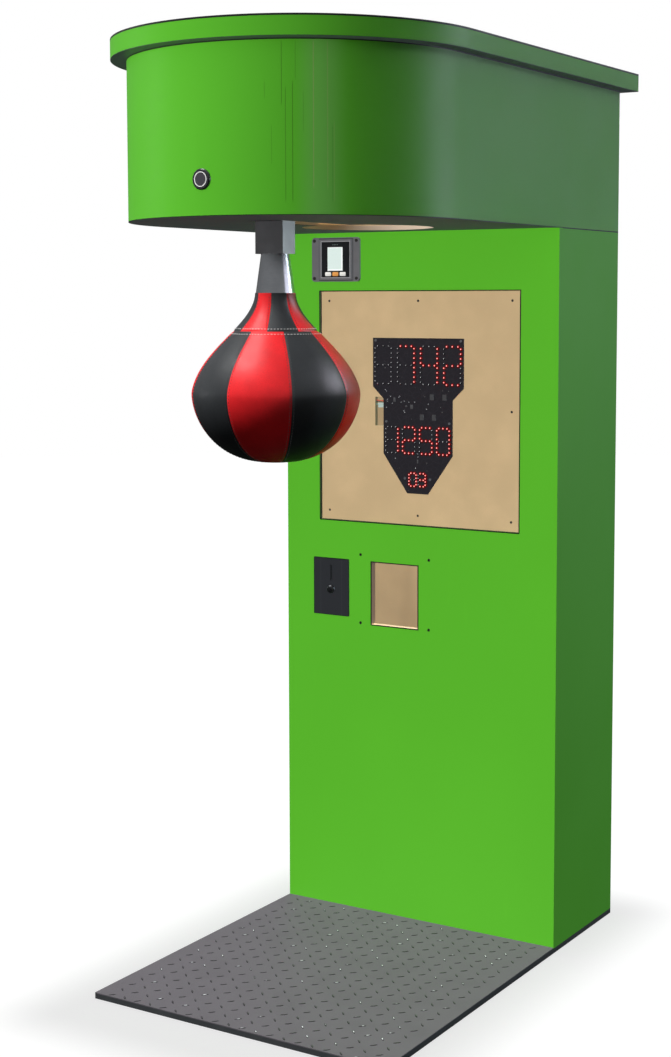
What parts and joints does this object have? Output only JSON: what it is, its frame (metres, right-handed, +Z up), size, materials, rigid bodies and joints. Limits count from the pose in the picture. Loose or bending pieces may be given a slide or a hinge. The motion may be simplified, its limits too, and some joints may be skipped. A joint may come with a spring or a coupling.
{
  "type": "boxing arcade machine",
  "caption": "Free-standing punch-ball arcade machine: padded ball on a swinging arm under a round-fronted head, tall cabinet with a lamp score board, coin unit and card reader.",
  "frame": {"origin": "on the floor, under the middle of the machine's bounding box", "axes": "+Z up; the player stands at -Y and faces +Y; +X is to the player's right"},
  "size_m": [0.818, 1.266, 2.086],
  "materials": {
    "green_board": "green laminate on board, satin",
    "green_wall": "green laminate on bent board, satin",
    "dark_board": "dark grey paint on board",
    "lid_cover": "black sheet",
    "tread": "tread plate with raised lozenges",
    "raw_board": "unfinished tan fibreboard",
    "wood_batten": "planed softwood",
    "black_trim": "black edging",
    "circuit_board": "black solder mask",
    "chip": "moulded chips",
    "led_lit": "lit red lamps",
    "led_unlit": "unlit lamps",
    "cable": "black sheath with a grey plug",
    "steel": "bright steel",
    "zinc": "zinc-plated steel",
    "dark_screw": "black oxide screws",
    "coin_plate": "dark satin metal",
    "coin_plastic": "dark moulded plastic",
    "button_chrome": "dark polished metal",
    "reader_plate": "grey paint",
    "reader_unit": "glossy black",
    "reader_screen": "white lit screen",
    "button_black": "glossy black",
    "button_white": "white ring",
    "button_cap": "dark grey cap",
    "arm_paint": "dark grey paint",
    "collar_steel": "polished steel",
    "ball_leather": "red and black leather gores, stitched",
    "rubber": "black rubber",
    "grey_unit": "grey box",
    "solenoid": "lacquered coil in its frame"
  },
  "bodies": {
    "cabinet": {"base_board": "dark_board", "tread_plate": "tread", "side_panel_left": "green_board", "side_panel_right": "green_board", "front_panel": "green_board", "cabinet_battens": "wood_batten", "shelf": "raw_board", "rear_kick_panel": "dark_board", "power_inlet": "coin_plastic", "power_supply": "zinc", "hinge_leaves_fixed": "zinc", "head_floor": "dark_board", "head_wall": "green_wall", "head_rear_panel": "green_board", "head_battens": "wood_batten", "lid_board": "green_board", "lid_cover": "lid_cover", "display_board": "raw_board", "display_battens": "wood_batten", "edge_trims": "black_trim", "display_screws": "dark_screw", "score_board": "circuit_board", "score_board_screws": "steel", "score_board_chips": "chip", "leds_lit": "led_lit", "leds_unlit": "led_unlit", "display_cable": "cable", "control_unit": "grey_unit", "coin_plate": "coin_plate", "coin_validator": "coin_plastic", "coin_chute": "zinc", "cash_box": "zinc", "reader_plate": "reader_plate", "reader_unit": "reader_unit", "reader_screen": "reader_screen", "reader_screws": "dark_screw", "start_button_body": "button_black", "start_button_ring": "button_white", "start_button_switch": "coin_plastic", "bearing_plate": "zinc", "pillow_blocks": "grey_unit", "mechanism_bolts": "steel", "rest_bumper": "rubber", "swing_sensor": "coin_plastic", "latch_bracket": "zinc", "solenoid": "solenoid"},
    "swing": {"swing_shaft": "steel", "swing_arm": "arm_paint", "arm_collar": "collar_steel", "ball_stud": "steel", "ball": "ball_leather", "code_wheel": "coin_plastic"},
    "door": {"service_door": "green_board", "hinge_leaves_door": "zinc", "lock_body": "zinc"},
    "lock": {"lock_cam": "steel"},
    "start_button": {"start_button_cap": "button_cap"},
    "reject": {"reject_button": "button_chrome"},
    "pawl": {"latch_pawl": "steel"},
    "plunger": {"solenoid_plunger": "steel"}
  },
  "joints": [
    {"name": "ball_swing", "type": "hinge", "parent": "cabinet", "child": "swing", "pos_m": [0, -0.334, 1.744], "axis": [1, 0, 0], "range_deg": [0, 68]},
    {"name": "service_door_swing", "type": "hinge", "parent": "cabinet", "child": "door", "pos_m": [-0.356, 0.6043, 0.85], "axis": [0, 0, 1], "range_deg": [0, 110]},
    {"name": "door_lock_turn", "type": "hinge", "parent": "door", "child": "lock", "pos_m": [0.32, 0.59, 0.9], "axis": [0, 1, 0], "range_deg": [0, 90]},
    {"name": "start_button_press", "type": "slide", "parent": "cabinet", "child": "start_button", "axis": [0, 1, 0], "range_m": [0, 0.0035], "stiffness_N_per_m": 600, "springref_m": -0.0015},
    {"name": "coin_reject_press", "type": "slide", "parent": "cabinet", "child": "reject", "axis": [0, 1, 0], "range_m": [0, 0.004], "stiffness_N_per_m": 500, "springref_m": -0.0015},
    {"name": "latch_turn", "type": "hinge", "parent": "cabinet", "child": "pawl", "pos_m": [0, -0.46086, 1.79017], "axis": [-1, 0, 0], "range_deg": [0, 35], "stiffness_Nm_per_rad": 0.15, "springref_deg": -28.65},
    {"name": "plunger_slide", "type": "slide", "parent": "cabinet", "child": "plunger", "axis": [0, -1, 0], "range_m": [0, 0.01814]}
  ],
  "couplings": [
    {"joint": "plunger_slide", "follows": "latch_turn", "m_per_rad": 0.029536}
  ]
}
